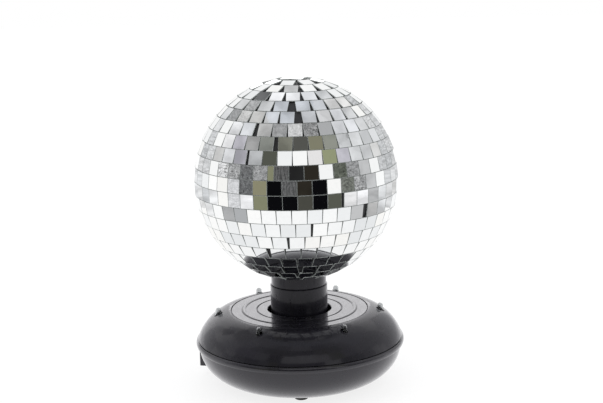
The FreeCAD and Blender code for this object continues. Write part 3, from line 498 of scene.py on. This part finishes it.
# The room round the ball: azimuths, elevations, tone, surface.
ROOM = [
    # beyond the table's end
    ((-84, -66), (-24, -8), PALE, "frosted"), ((-66, -50), (-24, -8), LIGHT, "cloudy"),
    ((-50, -34), (-22, -8), OLIVE, "plain"), ((-34, 2), (-22, -8), BLACK, "plain"),
    ((2, 20), (-22, -8), (0.07, 0.07, 0.06), "plain"), ((20, 38), (-22, -8), BLACK, "plain"),
    ((38, 44), (-22, -8), SHADE, "plain"), ((44, 50), (-22, -8), OLIVE, "plain"),
    ((50, 80), (-20, -8), LIGHT, "cloudy"), ((80, 96), (-18, -8), grey(0.52), "cloudy"),
    # eye height
    ((-84, -66), (-8, 7), PALE, "frosted"), ((-66, -48), (-8, 7), grey(0.18), "mottled"),
    ((-48, -33), (-8, 7), (0.29, 0.275, 0.18), "plain"), ((-33, -15), (-8, 7), BLACK, "plain"),
    ((-15, 2), (-8, 7), grey(0.11), "striped"), ((2, 16), (-8, 7), DARK, "cloudy"),
    ((16, 37), (-8, 7), BLACK, "plain"), ((37, 50), (-8, -3), SHADE, "plain"),
    ((37, 50), (-3, 7), WHITE, "plain"), ((50, 64), (-8, 7), (0.16, 0.17, 0.155), "mottled"),
    ((64, 82), (-8, 7), grey(0.36), "mottled"), ((82, 98), (-8, 4), grey(0.52), "cloudy"),
    # above the eye
    ((-95, -80), (5, 14), grey(0.62), "mottled"), ((-80, -64), (7, 23), grey(0.36), "mottled"),
    ((-64, -47), (7, 23), grey(0.18), "mottled"), ((-47, -36), (7, 23), grey(0.32), "mottled"),
    ((-36, -25), (7, 23), OLIVE, "plain"), ((-25, -7), (7, 23), grey(0.10), "striped"),
    ((-7, 10), (7, 23), grey(0.022), "cloudy"), ((10, 27), (7, 23), DARK, "plain"),
    ((27, 46), (7, 23), WHITE, "plain"), ((46, 59), (7, 23), (0.11, 0.12, 0.10), "mottled"),
    ((59, 74), (7, 23), grey(0.30), "mottled"), ((74, 90), (7, 23), grey(0.54), "cloudy"),
    # the bright panel and the wall round it
    ((-112, -95), (10, 20), grey(0.68), "cloudy"), ((-110, -84), (20, 40), LIGHT, "cloudy"),
    ((-84, -56), (23, 40), HAZE, "cloudy"), ((-56, -40), (23, 40), grey(0.60), "cloudy"),
    ((-40, -22), (23, 40), SHADE, "plain"), ((-22, 17), (24, 39), WHITE, "plain"),
    ((17, 36), (24, 39), (0.88, 0.86, 0.86), "plain"),
    ((36, 54), (23, 40), (0.31, 0.335, 0.21), "plain"), ((54, 70), (23, 40), HAZE, "cloudy"),
    ((70, 125), (18, 40), grey(0.68), "cloudy"),
    # the wall's top
    ((-128, -100), (40, 56), grey(0.60), "frosted"), ((-100, -73), (40, 54), PALE, "cloudy"),
    ((-73, -55), (40, 54), grey(0.38), "cloudy"),
    ((-55, -30), (40, 56), (0.25, 0.26, 0.24), "cloudy"),
    ((-30, -6), (40, 48), (0.125, 0.13, 0.105), "plain"),
    ((-30, -6), (48, 56), (0.20, 0.20, 0.165), "cloudy"),
    ((-6, 20), (42.3, 56), (0.10, 0.10, 0.09), "plain"),
    ((20, 40), (40, 56), (0.23, 0.225, 0.16), "plain"),
    ((40, 60), (40, 56), (0.27, 0.275, 0.24), "cloudy"),
    ((60, 76), (33, 56), grey(0.50), "cloudy"), ((76, 122), (40, 56), PALE, "cloudy"),
    # the ceiling
    ((-140, -80), (56, 68), grey(0.60), "cloudy"), ((-80, -45), (54, 68), grey(0.56), "cloudy"),
    ((-45, -18), (56, 68), grey(0.37), "frosted"), ((-18, 20), (56, 68), grey(0.62), "frosted"),
    ((20, 49), (56, 68), grey(0.26), "mottled"), ((49, 70), (54, 68), grey(0.46), "plain"),
    ((70, 180), (56, 68), PALE, "cloudy"), ((-180, -140), (56, 68), LIGHT, "cloudy"),
    ((-180, 180), (68, 90), (0.60, 0.62, 0.66), "cloudy"),
    # grey things behind, to either side of the backdrop
    ((-160, -141), (43, 56), grey(0.17), "cloudy"),
    ((-141, -126), (42, 56), grey(0.46), "frosted"),
    ((-140, -124), (27, 40), grey(0.40), "frosted"),
    ((-190, -168), (46, 60), grey(0.58), "cloudy"),
    ((122, 160), (40, 58), grey(0.76), "cloudy"), ((146, 158), (12, 28), grey(0.68), "frosted"),
    ((108, 158), (-5, 12), grey(0.66), "frosted"),
    ((-142, -112), (-4, 17), grey(0.68), "frosted"),
    ((-150, -140), (32, 42), grey(0.66), "cloudy"),
    ((-145, -130), (17, 26), grey(0.74), "cloudy"),
    ((128, 146), (12, 28), grey(0.70), "frosted"), ((100, 128), (12, 18), grey(0.70), "cloudy"),
    # the lit backdrop behind the ball
    ((170, 190), (6, 29), BACKDROP, "plain"),
]
for index, (azimuths, elevations, tone, texture) in enumerate(ROOM):
    card(f"room_{index:02d}", azimuths, elevations, tone, texture)

# Grey scraps that lie on the table, out of the camera's sight: x, y, tone, surface.
SCRAPS = [
    ((-0.305, -0.248), (-0.165, -0.108), grey(0.56), "plain"),
    ((-0.345, -0.283), (-0.094, -0.044), grey(0.46), "cloudy"),
    ((0.268, 0.330), (-0.152, -0.105), grey(0.58), "plain"),
    ((0.330, 0.402), (-0.030, 0.032), grey(0.52), "cloudy"),
    ((0.34, 1.3), (0.07, 1.2), grey(0.78), "cloudy"),
    ((-1.3, -0.34), (0.1, 1.2), grey(0.82), "cloudy"),
]
for index, (across, along, tone, texture) in enumerate(SCRAPS):
    corners = [(across[i], along[j], FLOOR_LIFT) for i, j in ((0, 0), (1, 0), (1, 1), (0, 1))]
    reflected_only(mesh_object(f"scrap_{index}", corners, [(0, 1, 2, 3)],
                               glow(f"scrap_{index}", tone, texture)))

world = bpy.data.worlds.new("white_surround")
bpy.context.scene.world = world
world.use_nodes = True
surround = world.node_tree.nodes["Background"]
surround.inputs["Color"].default_value = (1.0, 1.0, 1.0, 1.0)
surround.inputs["Strength"].default_value = 1.0

LIGHT_SIZE = 1.4
LIGHTS_AIM = Vector((0, 0, 0.1))


def soft_light(name, place, power):
    """Round soft light that looks at the object's lower middle; mirrors don't show it."""
    data = bpy.data.lights.new(name, "AREA")
    data.shape = "DISK"
    data.size = LIGHT_SIZE
    data.energy = power
    lamp = bpy.data.objects.new(name, data)
    lamp.location = place
    lamp.rotation_euler = (LIGHTS_AIM - Vector(place)).to_track_quat("-Z", "Y").to_euler()
    lamp.visible_glossy = False
    bpy.context.scene.collection.objects.link(lamp)


soft_light("key", (-0.9, -0.7, 1.7), 6.0)
soft_light("fill", (1.2, -0.4, 1.4), 5.0)

# ---- camera ------------------------------------------------------------------------------
CAMERA_PLACE = Vector((0.0035, -0.9417, 0.3314))
LOOK_DOWN = math.radians(11.701)
ROLL = math.radians(-1.378)
SENSOR_WIDE = 36.0
FOCAL_LENGTH = 77.47
forward = Vector((0.0, math.cos(LOOK_DOWN), -math.sin(LOOK_DOWN)))
right = Vector((1.0, 0.0, 0.0))
up = right.cross(forward)
turned_right = right * math.cos(ROLL) + up * math.sin(ROLL)
turned_up = up * math.cos(ROLL) - right * math.sin(ROLL)
camera_data = bpy.data.cameras.new("camera")
camera_data.sensor_width = SENSOR_WIDE
camera_data.lens = FOCAL_LENGTH
camera = bpy.data.objects.new("camera", camera_data)
camera.matrix_world = Matrix.Translation(CAMERA_PLACE) @ Matrix(
    (turned_right, turned_up, -forward)).transposed().to_4x4()
bpy.context.scene.collection.objects.link(camera)
bpy.context.scene.camera = camera
bpy.context.scene.view_settings.view_transform = "Standard"
